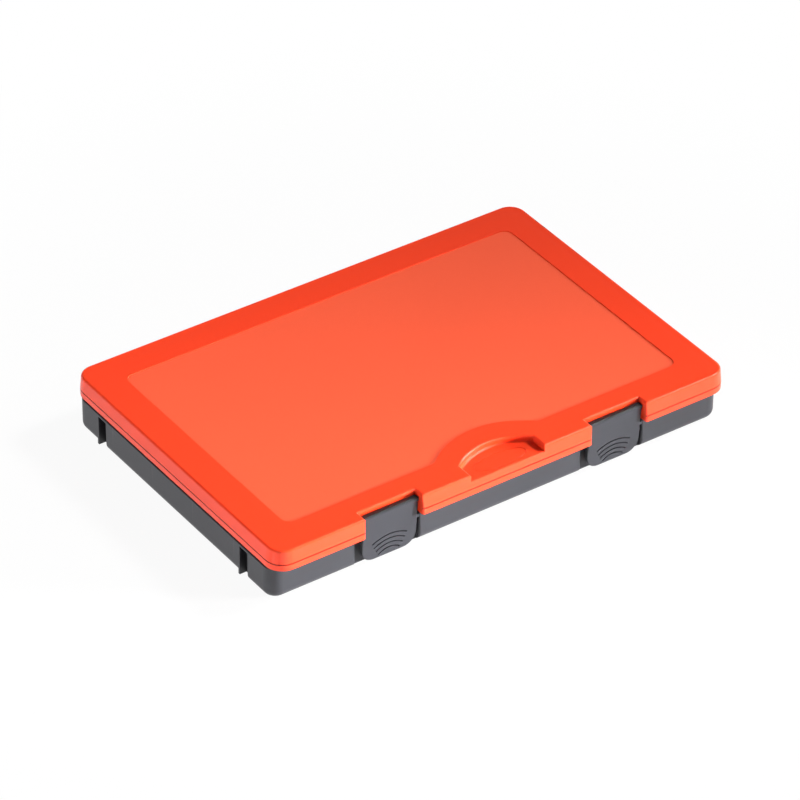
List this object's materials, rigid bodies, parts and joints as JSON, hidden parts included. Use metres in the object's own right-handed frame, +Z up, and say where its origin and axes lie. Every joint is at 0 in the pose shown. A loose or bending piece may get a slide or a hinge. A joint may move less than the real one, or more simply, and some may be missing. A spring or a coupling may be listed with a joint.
{
  "type": "flat storage box",
  "caption": "Shallow plastic storage box with a recessed lid panel, rear pin hinges, snap latches and removable long and cross dividers.",
  "frame": {"origin": "middle of the box's outline on the plane it stands on", "axes": "+X along the box to the right, +Y from front to back, +Z up"},
  "size_m": [0.356, 0.24, 0.042],
  "materials": {
    "lid_plastic": "satin moulded orange-red",
    "tray_plastic": "satin moulded slate grey",
    "latch_plastic": "satin moulded grey",
    "divider_plastic": "satin moulded grey",
    "pin_steel": "drawn steel wire"
  },
  "bodies": {
    "base": {"tray": "tray_plastic", "long_divider_1": "divider_plastic", "long_divider_2": "divider_plastic", "long_divider_3": "divider_plastic", "long_divider_4": "divider_plastic", "cross_divider_1a": "divider_plastic", "cross_divider_1b": "divider_plastic", "cross_divider_1c": "divider_plastic", "cross_divider_2a": "divider_plastic", "cross_divider_2b": "divider_plastic", "cross_divider_2c": "divider_plastic", "cross_divider_3a": "divider_plastic", "cross_divider_3b": "divider_plastic", "cross_divider_3c": "divider_plastic", "cross_divider_4a": "divider_plastic", "cross_divider_4b": "divider_plastic", "cross_divider_4c": "divider_plastic", "cross_divider_5a": "divider_plastic", "cross_divider_5b": "divider_plastic", "cross_divider_5c": "divider_plastic", "hinge_pin_left": "pin_steel", "hinge_pin_right": "pin_steel"},
    "lid": {"lid": "lid_plastic"},
    "latch_left": {"latch_left": "latch_plastic"},
    "latch_right": {"latch_right": "latch_plastic"}
  },
  "joints": [
    {"name": "lid_hinge", "type": "hinge", "parent": "base", "child": "lid", "pos_m": [0, 0.1164, 0.024], "axis": [-1, 0, 0], "range_deg": [0, 110]},
    {"name": "latch_left_hinge", "type": "hinge", "parent": "lid", "child": "latch_left", "pos_m": [-0.0885, -0.1141, 0.0372], "axis": [-1, 0, 0], "range_deg": [0, 95]},
    {"name": "latch_right_hinge", "type": "hinge", "parent": "lid", "child": "latch_right", "pos_m": [0.0885, -0.1141, 0.0372], "axis": [-1, 0, 0], "range_deg": [0, 95]}
  ]
}
